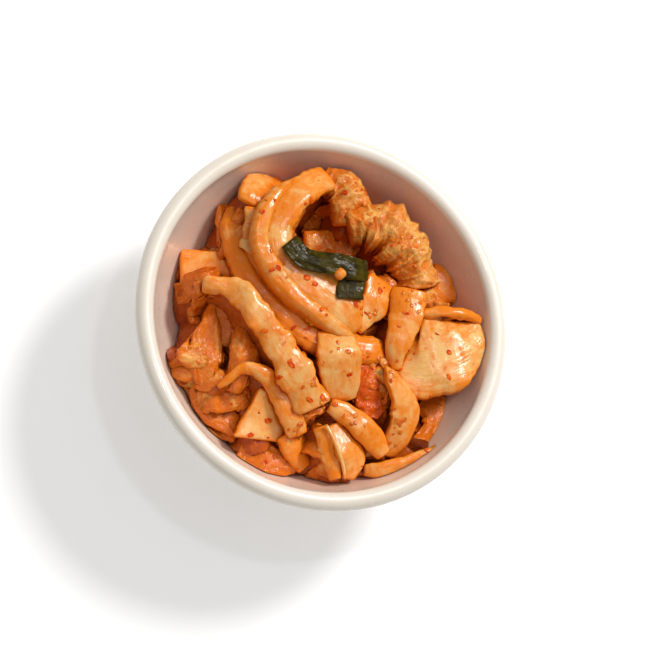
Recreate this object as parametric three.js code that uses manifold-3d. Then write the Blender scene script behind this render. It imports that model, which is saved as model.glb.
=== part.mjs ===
// A small round ceramic bowl of cabbage kimchi, with a folded green onion leaf on top.
// Millimetres, +Z up. The origin is the centre of the foot ring, on the table.
import * as THREE from "three";
import { mergeVertices } from "three/addons/utils/BufferGeometryUtils.js";
import Module from "manifold-3d";

// Driving sizes of the bowl
const RIM_RADIUS = 45;
const BOWL_HEIGHT = 40;
const RIM_THICKNESS = 4.4;
const FOOT_RADIUS = 24;
const FOOT_RECESS = 1.5;
const FOOT_WIDTH = 4;
const FLOOR_TOP = 5.5;
const FLOOR_RADIUS = 18;
const OUTER_BELLY = 1.2;
const INNER_BELLY = 1.35;
const BOWL_SIDES = 64;

// The heap keeps this far from the glaze, and the leaf lies in a recess this much larger
const WALL_GAP = 0.45;
const LEAF_GAP = 0.35;
const HEAP_CEILING = 50;

// The bare heap: a low mound that rises under each piece
const CORE_TOP = 25;
const CORE_DROP = 14;
const CORE_DROP_RADIUS = 26;
const CORE_SLOPE = 1.7;
const CORE_REACH = 40.5;
const CORE_RINGS = 13;
const CORE_SIDES = 44;
const CORE_RIPPLE = 0.8;

// How finely a piece is faceted
const SECTION_SIDES = 8;
const STEPS_PER_SPAN = 2;
const LEAF_SECTION_SIDES = 10;
const LEAF_STEPS_PER_SPAN = 3;

const rimTube = RIM_THICKNESS / 2;
const rimCentreHeight = BOWL_HEIGHT - rimTube;

// Radius of a wall that leaves its foot at (footRadius, footHeight) and reaches topRadius under the rim.
function wallRadius(z, footRadius, footHeight, topRadius, belly) {
  const share = THREE.MathUtils.clamp((z - footHeight) / (rimCentreHeight - footHeight), 0, 1);
  return footRadius + (topRadius - footRadius) * (1 - (1 - share) ** belly) ** (1 / belly);
}

const outerRadius = (z) => wallRadius(z, FOOT_RADIUS, 0, RIM_RADIUS, OUTER_BELLY);
const innerRadius = (z) => wallRadius(z, FLOOR_RADIUS, FLOOR_TOP, RIM_RADIUS - RIM_THICKNESS, INNER_BELLY);

const wasm = await Module();
wasm.setup();

function solidFromPositions(positions, indices) {
  const make = (tri) =>
    new wasm.Manifold(
      new wasm.Mesh({
        numProp: 3,
        vertProperties: new Float32Array(positions),
        triVerts: new Uint32Array(tri),
      }),
    );
  const solid = make(indices);
  if (solid.volume() >= 0) return solid;
  const turned = [];
  for (let i = 0; i < indices.length; i += 3) turned.push(indices[i], indices[i + 2], indices[i + 1]);
  return make(turned);
}

function solidFromGeometry(geometry) {
  geometry.deleteAttribute("normal");
  geometry.deleteAttribute("uv");
  const merged = mergeVertices(geometry, 1e-4);
  return solidFromPositions(merged.attributes.position.array, merged.index.array);
}

// A solid turned round Z from a closed outline of [radius, height] points.
function turned(outline, sides) {
  const points = [...outline, outline[0]].map(([r, z]) => new THREE.Vector2(r, z));
  return solidFromGeometry(new THREE.LatheGeometry(points, sides).rotateX(Math.PI / 2));
}

function geometryOf(solid) {
  const mesh = solid.getMesh();
  const positions = new Float32Array(mesh.numVert * 3);
  for (let i = 0; i < mesh.numVert; i++) {
    positions.set(mesh.vertProperties.subarray(i * mesh.numProp, i * mesh.numProp + 3), i * 3);
  }
  const geometry = new THREE.BufferGeometry();
  geometry.setAttribute("position", new THREE.BufferAttribute(positions, 3));
  geometry.setIndex(new THREE.BufferAttribute(mesh.triVerts, 1));
  geometry.computeVertexNormals();
  return geometry;
}

// The largest closed skin of a joined solid: sealed hollows are filled and loose scraps dropped.
function outerSkin(solid) {
  return solid.decompose().reduce((best, body) => (body.volume() > best.volume() ? body : best));
}

// The bowl: foot ring, rounded outer wall, thick rolled rim, inner wall and floor.
function bowlSolid() {
  const wallSteps = 9;
  const rimSteps = 7;
  const outline = [
    [0, FOOT_RECESS],
    [FOOT_RADIUS - FOOT_WIDTH - 0.5, FOOT_RECESS],
    [FOOT_RADIUS - FOOT_WIDTH, 0],
  ];
  for (let i = 0; i < wallSteps; i++) {
    const z = (rimCentreHeight * i) / wallSteps;
    outline.push([outerRadius(z), z]);
  }
  for (let i = 0; i <= rimSteps; i++) {
    const turn = (Math.PI * i) / rimSteps;
    outline.push([RIM_RADIUS - rimTube + rimTube * Math.cos(turn), rimCentreHeight + rimTube * Math.sin(turn)]);
  }
  for (let i = 1; i <= wallSteps; i++) {
    const share = (1 - i / wallSteps) ** 1.5;
    const z = FLOOR_TOP + (rimCentreHeight - FLOOR_TOP) * share;
    outline.push([innerRadius(z), z]);
  }
  outline.push([0, FLOOR_TOP]);
  return turned(outline, BOWL_SIDES);
}

// The room inside the bowl that the heap may fill.
function roomInBowl() {
  const steps = 10;
  const outline = [[0, FLOOR_TOP + WALL_GAP]];
  for (let i = 0; i <= steps; i++) {
    const z = FLOOR_TOP + (rimCentreHeight - FLOOR_TOP) * (i / steps) ** 1.5;
    outline.push([innerRadius(z) - WALL_GAP - 0.1, Math.max(z, FLOOR_TOP + WALL_GAP)]);
  }
  outline[1][1] = FLOOR_TOP + WALL_GAP;
  outline.push([RIM_RADIUS - RIM_THICKNESS - WALL_GAP - 0.1, HEAP_CEILING], [0, HEAP_CEILING]);
  return turned(outline, 36);
}

// Gentle repeating ripple between -1 and 1, so that no two pieces are alike.
function ripple(x, y, seed) {
  return (
    0.5 * Math.sin(0.9 * x + 1.7 * seed + 0.6 * Math.sin(0.7 * y + seed)) +
    0.5 * Math.sin(0.8 * y - 0.5 * x + 2.3 * seed)
  );
}

// Height of the bare heap: it stays just inside each piece and slopes away beside it.
function coreHeight(x, y, supports) {
  let z = CORE_TOP - CORE_DROP * (Math.hypot(x, y) / CORE_DROP_RADIUS) ** 3;
  z += CORE_RIPPLE * ripple(0.5 * x, 0.5 * y, 2);
  for (const [px, py, pz, width, thick] of supports) {
    const beyond = Math.max(Math.hypot(x - px, y - py) - 0.22 * width, 0);
    z = Math.max(z, pz - 0.3 * thick - CORE_SLOPE * beyond);
  }
  return Math.max(z, 1);
}

// Points along the middle of every piece, which the bare heap has to carry.
function supportPoints(pieces) {
  return pieces.flatMap(({ path, thick }) => {
    const line = pathCurve(path);
    const widths = widthCurve(path);
    const count = 4 * (path.length - 1);
    return Array.from({ length: count + 1 }, (_, i) => {
      const centre = line.getPoint(i / count);
      return [centre.x, centre.y, centre.z, widths.getPoint(i / count).y, thick];
    });
  });
}

function coreSolid(pieces) {
  const supports = supportPoints(pieces);
  const positions = [0, 0, coreHeight(0, 0, supports)];
  for (let ring = 1; ring <= CORE_RINGS; ring++) {
    for (let side = 0; side < CORE_SIDES; side++) {
      const turn = (2 * Math.PI * side) / CORE_SIDES;
      const r = (CORE_REACH * ring) / CORE_RINGS;
      const x = r * Math.cos(turn);
      const y = r * Math.sin(turn);
      positions.push(x, y, coreHeight(x, y, supports));
    }
  }
  const at = (ring, side) => 1 + (ring - 1) * CORE_SIDES + (side % CORE_SIDES);
  const indices = [];
  for (let side = 0; side < CORE_SIDES; side++) {
    indices.push(0, at(1, side), at(1, side + 1));
    for (let ring = 1; ring < CORE_RINGS; ring++) {
      const [a, b] = [at(ring, side), at(ring, side + 1)];
      const [c, d] = [at(ring + 1, side), at(ring + 1, side + 1)];
      indices.push(a, c, d, a, d, b);
    }
  }
  const floorCentre = positions.length / 3;
  positions.push(0, 0, 0);
  for (let side = 0; side < CORE_SIDES; side++) {
    const turn = (2 * Math.PI * side) / CORE_SIDES;
    positions.push(CORE_REACH * Math.cos(turn), CORE_REACH * Math.sin(turn), 0);
  }
  for (let side = 0; side < CORE_SIDES; side++) {
    const low = floorCentre + 1 + side;
    const lowNext = floorCentre + 1 + ((side + 1) % CORE_SIDES);
    const top = at(CORE_RINGS, side);
    const topNext = at(CORE_RINGS, side + 1);
    indices.push(floorCentre, lowNext, low, top, low, lowNext, top, lowNext, topNext);
  }
  return solidFromPositions(positions, indices);
}

function pathCurve(path) {
  const points = path.map(([x, y, z]) => new THREE.Vector3(x, y, z));
  return new THREE.CatmullRomCurve3(points, false, "catmullrom", 0.5);
}

function widthCurve(path) {
  const points = path.map(([, , , width], i) => new THREE.Vector3(i, width, 0));
  return new THREE.CatmullRomCurve3(points, false, "catmullrom", 0.5);
}

// A cut piece of cabbage: a lens-shaped section swept along a smooth line.
// path: [x, y, z, width] at each control point; thick: its thickness in the middle;
// arch: how far the section bows up; roll: its sideways tilt in degrees; crumple: height of its folds.
function cabbagePiece({ path, thick, arch = 0, roll = 0, crumple = 0, seed = 1, grow = 0 }) {
  const leafy = crumple > 0;
  const sides = leafy ? LEAF_SECTION_SIDES : SECTION_SIDES;
  const steps = (path.length - 1) * (leafy ? LEAF_STEPS_PER_SPAN : STEPS_PER_SPAN);
  const line = pathCurve(path);
  const widthLine = widthCurve(path);
  const tilt = THREE.MathUtils.degToRad(roll);
  const positions = [];
  for (let i = 0; i <= steps; i++) {
    const t = i / steps;
    const centre = line.getPoint(t);
    const forward = line.getTangent(t);
    const across = new THREE.Vector3(forward.y, -forward.x, 0).normalize();
    const up = new THREE.Vector3().crossVectors(across, forward);
    const side = across.clone().multiplyScalar(Math.cos(tilt)).addScaledVector(up, Math.sin(tilt));
    const normal = new THREE.Vector3().crossVectors(side, forward);
    const endGrow = i === 0 ? -grow : i === steps ? grow : 0;
    centre.addScaledVector(forward, endGrow);
    const width = Math.max(widthLine.getPoint(t).y, 0.8) + 2 * grow;
    const height = Math.min(thick, 0.7 * width) + 2 * grow;
    for (let k = 0; k < sides; k++) {
      const turn = (2 * Math.PI * (k + 0.5)) / sides;
      const u = Math.cos(turn);
      const bow = arch * (0.5 - u * u);
      const fold = crumple * ripple(i * 1.9, u * 4.5, seed);
      const offset = (height / 2) * Math.sign(Math.sin(turn)) * Math.abs(Math.sin(turn)) ** 0.75 + bow + fold;
      const point = centre.clone().addScaledVector(side, (u * width) / 2).addScaledVector(normal, offset);
      positions.push(point.x, point.y, point.z);
    }
  }
  const indices = [];
  for (let i = 0; i < steps; i++) {
    for (let k = 0; k < sides; k++) {
      const a = i * sides + k;
      const b = i * sides + ((k + 1) % sides);
      indices.push(a, b, b + sides, a, b + sides, a + sides);
    }
  }
  const last = steps * sides;
  for (let k = 1; k < sides - 1; k++) {
    indices.push(0, k + 1, k, last, last + k, last + k + 1);
  }
  return solidFromPositions(positions, indices);
}

// Pale, thick pieces cut from the stalks, as [x, y, z, width] along each
const STALK_PIECES = [
  { // the long wavy strip across the left
    path: [[-27.5, 7, 31, 2], [-25, 7, 32.5, 4.5], [-21.5, 6.5, 34, 5.2], [-18, 4, 35.5, 6], [-14.5, -0.5, 36, 6.5],
      [-11, -5.5, 36, 7], [-7.5, -10.5, 36, 8.5], [-4, -15.5, 35, 9], [-1, -20, 33, 7.5]],
    thick: 3.8, arch: 0.8, roll: -8,
  },
  { // the small hooked strip at the lower left
    path: [[-23, -16, 30, 1.2], [-21, -14.2, 31, 2], [-18.5, -12, 32, 2.4], [-16, -11.5, 32.5, 2.8],
      [-13, -12.5, 32.5, 3.8], [-10, -15, 32, 4.6], [-7.5, -19, 31.5, 5], [-5.5, -22.5, 31, 5.4], [-3.5, -26, 30, 4]],
    thick: 2.8, arch: 0.6, roll: -10,
  },
  { // the flat corner piece under it
    path: [[-12, -15, 29.5, 2.5], [-12.2, -19, 29, 6.5], [-11.6, -23, 28, 10.5], [-11, -27.5, 27, 13]],
    thick: 2.6, arch: 0.3, roll: 4,
  },
  { // the block at the left, against the wall
    path: [[-30.5, 14, 24, 6.2], [-26.5, 14, 25, 7], [-21.5, 13.5, 26, 7.5], [-16.5, 13, 27, 7.5]],
    thick: 4.2, arch: 0.6,
  },
  { // the stalk folded over at the upper left
    path: [[-11.5, 35, 30, 8.5], [-14, 30.5, 33, 10], [-15.8, 26.6, 34.5, 8.4], [-16, 24, 33.8, 6.5], [-17, 21, 31, 3]],
    thick: 3, arch: 1.2,
  },
  { // the long darker stalk behind the strip
    path: [[-17.5, 28, 24, 5.5], [-18, 22, 25.5, 5.6], [-16, 16, 27, 6], [-13, 10.5, 28.5, 7], [-9, 5, 30, 8],
      [-3.5, 0.5, 31, 8.5], [2.5, -3, 32, 8], [8.5, -4.5, 32.5, 7], [13.5, -5, 32.5, 6.5], [17.5, -5, 31, 4.5]],
    thick: 4, arch: 1,
  },
  { // the broad main stalk that carries the green leaf
    path: [[1.5, 35, 35, 6.5], [-4.5, 31.5, 37.5, 7.5], [-9.5, 26.5, 38, 8.5], [-12, 20.5, 37.5, 8.6],
      [-11, 14.5, 37, 9.5], [-6.5, 9, 37, 11.5], [-2, 5.5, 37, 13], [3, 1.5, 36.8, 10.5], [8, -3, 35.5, 2.4]],
    thick: 4.6, arch: 0.6,
  },
  { // the face that folds down beside it
    path: [[16, 10.5, 34.5, 8], [13.5, 6, 35, 7.5], [10, 0, 34.5, 2]],
    thick: 2.4, arch: 0.6, roll: 12,
  },
  { // the upright strip right of the middle
    path: [[21, 8.5, 36.5, 6.5], [19, 4.5, 37, 6.5], [18, -0.5, 37, 5.6], [18, -5, 36, 4.6], [19.5, -10, 34.5, 1.8]],
    thick: 2.8, arch: 0.8, roll: -10,
  },
  { // the broad pale stalk at the right
    path: [[21.5, -6, 33, 10.5], [25, -6.3, 34.8, 18], [30, -5.3, 36, 18.5], [35, -2.5, 36, 13], [40, 0.6, 34.8, 6]],
    thick: 4.4, arch: 2.2,
  },
  { // the piece in the rim's shade at the right
    path: [[30, 13.5, 28, 10.5], [34.5, 13, 28, 9], [39, 11, 27, 3]],
    thick: 3.4, arch: 1,
  },
  { // the slab bent over in the middle
    path: [[2.2, -3.6, 32.5, 8.5], [3, -7.5, 36, 10.5], [4.5, -11, 36, 11], [6.5, -15, 34, 9], [8.5, -18.5, 31, 7]],
    thick: 3, arch: 0.6,
  },
  { // the pointed strip at the lower right
    path: [[15.5, -9.5, 37, 1], [17, -13.5, 37, 4], [19.3, -17.5, 36, 7], [20.5, -21, 35, 7.2], [20.5, -24.5, 33, 6.6],
      [19.5, -27.5, 31, 5.5], [19, -29.5, 30, 4]],
    thick: 3, arch: 0.8,
  },
  { // the short strip at the lower middle
    path: [[3, -19.5, 33.5, 3], [7, -21.5, 34, 5], [10.5, -24, 34, 6], [14, -27, 33, 5.6], [16.2, -29.7, 32, 3]],
    thick: 3.2, arch: 0.8, roll: -6,
  },
  { // the ridged fold at the bottom
    path: [[3.5, -24, 32, 6.6], [5.5, -27.5, 32, 9.4], [7.5, -31.5, 31, 10.4], [7.8, -35.6, 29.5, 4]],
    thick: 3, arch: 2.6,
  },
  { // the thin strip along the wall
    path: [[12, -33, 29.5, 2.6], [17, -32.5, 31, 4], [22, -31.5, 32, 4], [26.5, -29.5, 33, 3.4], [29.5, -28, 34, 1.2]],
    thick: 2.2, arch: 0.4,
  },
  { // the low piece between the flat corner and the fold
    path: [[-6.5, -25.5, 28, 4.4], [-4, -28.5, 27, 6], [-0.5, -32.5, 25, 4]],
    thick: 3, arch: 0.8,
  },
];

// Crumpled pieces from the leafy tops of the cabbage
const LEAF_PIECES = [
  { // the roll's far end, folded against the wall
    path: [[1, 36, 33, 6], [5.5, 33.5, 34, 9.5], [8, 29.5, 34, 10.5], [8.5, 24.5, 33, 10]],
    thick: 5, arch: 1.5, crumple: 0.9, seed: 3,
  },
  { // the big wrinkled roll
    path: [[7, 24, 33, 8], [11.5, 25.5, 34, 11.5], [17, 23.5, 34.5, 13.5], [21, 19.5, 34.5, 13], [23.8, 15, 34, 11],
      [25.2, 10.5, 33, 9.5]],
    thick: 8, arch: 2.5, crumple: 0.9, seed: 5,
  },
  { // its torn tail
    path: [[23.5, 12.5, 33.5, 9.5], [26, 9.5, 33.5, 9], [28, 6, 31.5, 6]],
    thick: 3.6, arch: 1, crumple: 0.5, seed: 7,
  },
  { // the leaf at the bottom of the hollow
    path: [[-2, 21.5, 28, 4.5], [4, 21.5, 28, 6], [10.5, 20, 28, 5.5]],
    thick: 2.4, arch: 0.5, crumple: 0.4, seed: 2,
  },
  { // the wet red leaf in the middle
    path: [[13.5, -4.5, 31, 7], [14.5, -11.5, 30, 8], [14.5, -19, 29, 8]],
    thick: 3, arch: 0.5, crumple: 0.6, seed: 4,
  },
  { // the leaf in the shade at the lower right
    path: [[28, -15.5, 25, 7], [31.5, -18.5, 25, 8.5], [30.5, -24, 26, 7.5], [26, -27.5, 27, 5.5]],
    thick: 2.6, arch: 0.8, crumple: 0.6, seed: 6,
  },
  { // the crumpled leaf at the left
    path: [[-23.5, 5, 25, 3.4], [-24.5, -0.5, 26.5, 5], [-25.2, -5.5, 27, 8.5], [-26, -10.5, 26.5, 9],
      [-25, -15.5, 25, 4]],
    thick: 3, arch: 1, crumple: 0.8, seed: 8,
  },
  { // its tip on the wall
    path: [[-24.5, -7, 26.5, 7.5], [-29, -9, 27, 5.5], [-32.5, -8.8, 27.5, 2.4]],
    thick: 2.2, arch: 0.8, crumple: 0.4, seed: 9,
  },
  { // the veined leaf beside it
    path: [[-15, 0.5, 26, 5], [-15.5, -4, 28, 7], [-16.5, -8, 28.5, 7.5], [-18, -12, 27.5, 5.2], [-18.5, -16, 26, 3.4]],
    thick: 3, arch: 1.2, crumple: 0.6, seed: 10,
  },
  { // the low wet leaf at the lower left
    path: [[-26, -13.5, 22, 5], [-22.5, -18, 22.5, 8], [-18.5, -21, 22, 8.5], [-15, -24.5, 21.5, 5]],
    thick: 3, arch: 0.6, crumple: 0.8, seed: 11,
  },
  { // the flap over it
    path: [[-15, -11.5, 25.5, 6], [-16.5, -16, 26, 6], [-15, -19.5, 25, 4]],
    thick: 2, arch: 0.6, crumple: 0.5, seed: 12,
  },
  { // the leaf in the shade of the long strip
    path: [[-19, 7, 23, 4.6], [-19, 1, 23, 5.6], [-20, -5.5, 23, 5]],
    thick: 2.6, arch: 0.6, crumple: 0.5, seed: 13,
  },
];

// The green onion leaf: a flat ribbon whose right end folds back under it.
const GREEN_LEAF_PIECES = [
  {
    path: [[-9.2, 17.5, 40.2, 5], [-6, 14, 40.6, 5], [-1.5, 13, 40.8, 5], [3.5, 12.5, 40.8, 5.4], [7.5, 12, 40.6, 5.6],
      [10.2, 12, 40.2, 5.2]],
    thick: 1,
  },
  {
    path: [[7, 12, 40.2, 5.6], [6.5, 9.5, 39.8, 6.2], [6, 7.5, 39.6, 6.5], [6, 5, 39.2, 6.2]],
    thick: 1,
  },
];

function heapSolid() {
  const pieces = [...STALK_PIECES, ...LEAF_PIECES];
  const joined = pieces.map(cabbagePiece).reduce((heap, piece) => heap.add(piece), coreSolid(pieces));
  const recess = GREEN_LEAF_PIECES.map((p) => cabbagePiece({ ...p, grow: LEAF_GAP })).reduce((a, b) => a.add(b));
  return outerSkin(joined.intersect(roomInBowl()).subtract(recess));
}

function greenLeafSolid() {
  return outerSkin(GREEN_LEAF_PIECES.map(cabbagePiece).reduce((a, b) => a.add(b)));
}

function named(name, solid, color, roughness) {
  const material = new THREE.MeshStandardMaterial({ color, roughness, metalness: 0 });
  const mesh = new THREE.Mesh(geometryOf(solid), material);
  mesh.name = name;
  return mesh;
}

const group = new THREE.Group();
group.add(named("bowl", bowlSolid(), 0xeee6d8, 0.3));
group.add(named("kimchi_heap", heapSolid(), 0xe39a52, 0.3));
group.add(named("green_onion_leaf", greenLeafSolid(), 0x3a3d1c, 0.3));

export default group;
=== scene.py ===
import math
import random

import bpy
import numpy as np
from mathutils import Matrix, Vector
from mathutils.bvhtree import BVHTree


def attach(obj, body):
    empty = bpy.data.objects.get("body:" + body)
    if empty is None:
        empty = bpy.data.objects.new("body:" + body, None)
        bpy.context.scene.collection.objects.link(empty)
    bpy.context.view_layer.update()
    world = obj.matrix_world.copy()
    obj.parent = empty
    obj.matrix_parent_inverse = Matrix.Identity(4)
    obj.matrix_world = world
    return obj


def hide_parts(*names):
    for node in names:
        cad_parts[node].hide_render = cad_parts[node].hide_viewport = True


# A small round ceramic bowl of cabbage kimchi with a folded green onion leaf on top.
# The tables below are in millimetres, and every mesh is made in metres.
MM = 0.001

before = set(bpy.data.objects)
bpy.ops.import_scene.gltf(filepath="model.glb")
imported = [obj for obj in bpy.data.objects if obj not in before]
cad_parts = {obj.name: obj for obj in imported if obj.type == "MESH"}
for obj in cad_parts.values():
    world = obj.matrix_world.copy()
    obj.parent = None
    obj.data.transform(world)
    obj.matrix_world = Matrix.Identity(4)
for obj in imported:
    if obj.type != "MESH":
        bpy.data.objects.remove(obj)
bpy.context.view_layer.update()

# Sizes of the bowl
RIM_RADIUS = 45.0
BOWL_HEIGHT = 40.0
RIM_THICKNESS = 4.4
RIM_TUBE = RIM_THICKNESS / 2
RIM_CENTRE_HEIGHT = BOWL_HEIGHT - RIM_TUBE
FOOT_RADIUS = 24.0
FOOT_RECESS = 1.5
FOOT_WIDTH = 4.0
FLOOR_TOP = 5.5
FLOOR_RADIUS = 18.0
OUTER_BELLY = 1.2
INNER_BELLY = 1.35
BOWL_SIDES = 192

# The film of sauce on the glaze inside, with painted shade and painted reflected red from the kimchi,
# strongest low down and on one side, the shaded side away from the key light
FILM_AND_SHADE_TOP = 39.0
FILM_AND_SHADE_DEPTH = 10.0
FILM_AND_SHADE_SIDE = math.radians(20)
FILM_AND_SHADE_MEAN = 0.56
FILM_AND_SHADE_SWING = 0.4
FLOOR_FILM_AND_SHADE = 0.55

# The bare heap under the pieces
CORE_TOP = 24.0
CORE_DROP = 15.0
CORE_DROP_RADIUS = 26.0
CORE_SLOPE = 2.6
CORE_STEP = 0.6
CORE_SIDES = 220
CORE_REACH = 40.0
CORE_PART_OF_WIDTH = 0.22
CORE_PART_OF_THICKNESS = 0.35
CORE_COVER = 0.5
SHEET_THICKNESS = 1.0
WALL_GAP = 0.3

# Leaves draped over the bare heap, and how far out they lie
BURIED_LEAVES = 60
BURIED_REACH = 31.0

# Finer sections for the crumpled leaves than for the stalks
LEAF_SECTION = dict(spacing=0.28, around=110, lump=0.1)

# Where the camera stands
CAMERA_DISTANCE = 700.0
CAMERA_TURN = math.radians(220.0)
CAMERA_TILT = math.radians(22.5)
CAMERA_TARGET_HEIGHT = 24.0
CAMERA_AIM_RIGHT = 4.48
CAMERA_AIM_UP = 2.03
CAMERA_LENS = 164.4

# Soft studio light: place in metres, width in metres and power in watts
LIGHTS = {
    "key_light": ((0.42, 0.42, 0.82), 0.24, 7.2),
    "overhead_light": ((0.1, 0.1, 1.1), 0.9, 1.5),
    "sparkle_light": ((-0.02, 0.12, 1.1), 0.07, 0.9),
}
ROOM_BRIGHTNESS = 0.3
TABLE_HALF = 2.0


# Small helpers for meshes
def faced_outward(points, faces):
    """The same faces, turned over if they enclose a negative volume."""
    total = 0.0
    for face in faces:
        a, b, c = (points[face[k]] for k in (0, 1, 2))
        total += a[0] * (b[1] * c[2] - b[2] * c[1]) + a[1] * (b[2] * c[0] - b[0] * c[2])
        total += a[2] * (b[0] * c[1] - b[1] * c[0])
    return faces if total > 0 else [tuple(reversed(face)) for face in faces]


def make_object(name, points, faces, material=None, attributes=None, smooth=True):
    """A mesh object from points in millimetres."""
    faces = faced_outward(np.asarray(points) - np.asarray(points).mean(axis=0), faces)
    mesh = bpy.data.meshes.new(name)
    mesh.from_pydata((np.asarray(points) * MM).tolist(), [], faces)
    mesh.update()
    if smooth:
        mesh.shade_smooth()
    for key, values in (attributes or {}).items():
        layer = mesh.attributes.new(key, "FLOAT", "POINT")
        layer.data.foreach_set("value", np.asarray(values, dtype=np.float32))
    item = bpy.data.objects.new(name, mesh)
    bpy.context.scene.collection.objects.link(item)
    if material:
        mesh.materials.append(material)
    return item


def add_uv(item, across, along):
    """Lay a UV map over a piece from the distance across and along it, one value each per point."""
    mesh = item.data
    layer = mesh.uv_layers.new(name="UVMap")
    corner_points = np.empty(len(mesh.loops), dtype=np.int32)
    mesh.loops.foreach_get("vertex_index", corner_points)
    places = np.stack([np.asarray(across)[corner_points], np.asarray(along)[corner_points]], axis=1)
    layer.data.foreach_set("uv", places.astype(np.float32).ravel())


def smooth_line(controls, steps):
    """Points of a smooth curve through the control rows, with the given steps between each two."""
    rows = np.asarray(controls, dtype=float)
    padded = np.vstack([2 * rows[0] - rows[1], rows, 2 * rows[-1] - rows[-2]])
    found = []
    for i in range(1, len(padded) - 2):
        before, start, end, after = padded[i - 1:i + 3]
        for step in range(steps):
            t = step / steps
            found.append(
                0.5 * (2 * start + (end - before) * t
                       + (2 * before - 5 * start + 4 * end - after) * t ** 2
                       + (3 * start - before - 3 * end + after) * t ** 3)
            )
    found.append(rows[-1])
    return np.array(found)


def even_line(controls, spacing):
    """The same curve, with its points the given distance apart."""
    dense = smooth_line(controls, 24)
    gaps = np.linalg.norm(np.diff(dense[:, :3], axis=0), axis=1)
    run = np.concatenate([[0], np.cumsum(gaps)])
    count = max(int(run[-1] / spacing), 6)
    wanted = np.linspace(0, run[-1], count + 1)
    return np.stack([np.interp(wanted, run, dense[:, k]) for k in range(dense.shape[1])], axis=1), wanted


def lumps(points, size, seed, terms=7):
    """Smooth random height between about -1 and 1, with lumps of the given size."""
    rng = np.random.default_rng(seed)
    total = np.zeros(len(points))
    for _ in range(terms):
        direction = rng.normal(size=points.shape[1])
        direction *= rng.uniform(0.6, 1.5) * 2 * math.pi / (size * 2 * np.linalg.norm(direction))
        total += np.sin(points @ direction + rng.uniform(0, 2 * math.pi))
    return total / math.sqrt(terms) * 0.8


def creases(points, size, seed):
    """Sharp random folds between 0 and 1: ridges where two smooth lumps cross."""
    first = 1 - np.abs(lumps(points, size, seed))
    second = 1 - np.abs(lumps(points, size * 0.55, seed + 1))
    return np.clip(0.65 * first + 0.35 * second, 0, 1)


# Shape of the bowl's walls
def wall_radius(height, foot_radius, foot_height, top_radius, belly):
    share = np.clip((height - foot_height) / (RIM_CENTRE_HEIGHT - foot_height), 0, 1)
    return foot_radius + (top_radius - foot_radius) * (1 - (1 - share) ** belly) ** (1 / belly)


def outer_radius(height):
    return wall_radius(height, FOOT_RADIUS, 0, RIM_RADIUS, OUTER_BELLY)


def inner_radius(height):
    return wall_radius(height, FLOOR_RADIUS, FLOOR_TOP, RIM_RADIUS - RIM_THICKNESS, INNER_BELLY)


def keep_in_bowl(points):
    """Move points that would cross the glaze back to its inner face."""
    points = points.copy()
    radius = np.hypot(points[:, 0], points[:, 1])
    limit = inner_radius(np.minimum(points[:, 2], RIM_CENTRE_HEIGHT)) - WALL_GAP
    shrink = np.where(radius > limit, limit / np.maximum(radius, 1e-6), 1)
    points[:, 0] *= shrink
    points[:, 1] *= shrink
    points[:, 2] = np.maximum(points[:, 2], FLOOR_TOP + WALL_GAP)
    return points


# Materials
def new_material(name):
    material = bpy.data.materials.new(name)
    material.use_nodes = True
    nodes = material.node_tree.nodes
    shader = next(node for node in nodes if node.type == "BSDF_PRINCIPLED")
    return material, nodes, material.node_tree.links, shader


def set_values(node, **values):
    for key, value in values.items():
        node.inputs[key.replace("_", " ")].default_value = value


def math_node(nodes, links, operation, first, second=None, clamp=False):
    node = nodes.new("ShaderNodeMath")
    node.operation = operation
    node.use_clamp = clamp
    for socket, value in zip(node.inputs, (first, second)):
        if value is None:
            continue
        if isinstance(value, (int, float)):
            socket.default_value = value
        else:
            links.new(value, socket)
    return node.outputs[0]


def map_range(nodes, links, value, low, high, to_low=0.0, to_high=1.0):
    node = nodes.new("ShaderNodeMapRange")
    node.interpolation_type = "SMOOTHSTEP"
    set_values(node, From_Min=low, From_Max=high, To_Min=to_low, To_Max=to_high)
    links.new(value, node.inputs["Value"])
    return node.outputs["Result"]


def noise_node(nodes, links, vector, scale, detail=3.0, roughness=0.5, distortion=0.0):
    node = nodes.new("ShaderNodeTexNoise")
    set_values(node, Scale=scale, Detail=detail, Roughness=roughness, Distortion=distortion)
    links.new(vector, node.inputs["Vector"])
    return node.outputs["Fac"]


def object_place(nodes):
    """Places on the piece itself, in metres."""
    return nodes.new("ShaderNodeTexCoord").outputs["Object"]


def add_up(nodes, links, values):
    """The sum of several masks, kept between 0 and 1."""
    total = values[0]
    for value in values[1:-1]:
        total = math_node(nodes, links, "ADD", total, value)
    return math_node(nodes, links, "ADD", total, values[-1], clamp=True)


def attribute(nodes, name):
    node = nodes.new("ShaderNodeAttribute")
    node.attribute_name = name
    return node.outputs["Fac"]


def blend_colour(nodes, links, factor, first, second):
    node = nodes.new("ShaderNodeMix")
    node.data_type = "RGBA"
    if isinstance(factor, (int, float)):
        node.inputs["Factor"].default_value = factor
    else:
        links.new(factor, node.inputs["Factor"])
    for socket, colour in ((node.inputs[6], first), (node.inputs[7], second)):
        if isinstance(colour, tuple):
            socket.default_value = (*colour, 1)
        else:
            links.new(colour, socket)
    return node.outputs[2]


def new_group(name, inputs, outputs):
    """A shader node group with named float or vector inputs and outputs."""
    group = bpy.data.node_groups.new(name, "ShaderNodeTree")
    for label, kind in inputs:
        group.interface.new_socket(name=label, in_out="INPUT", socket_type=kind)
    for label, kind in outputs:
        group.interface.new_socket(name=label, in_out="OUTPUT", socket_type=kind)
    source = group.nodes.new("NodeGroupInput")
    sink = group.nodes.new("NodeGroupOutput")
    return group, source, sink


def use_group(nodes, group, **values):
    node = nodes.new("ShaderNodeGroup")
    node.node_tree = group
    for key, value in values.items():
        node.inputs[key].default_value = value
    return node


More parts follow.
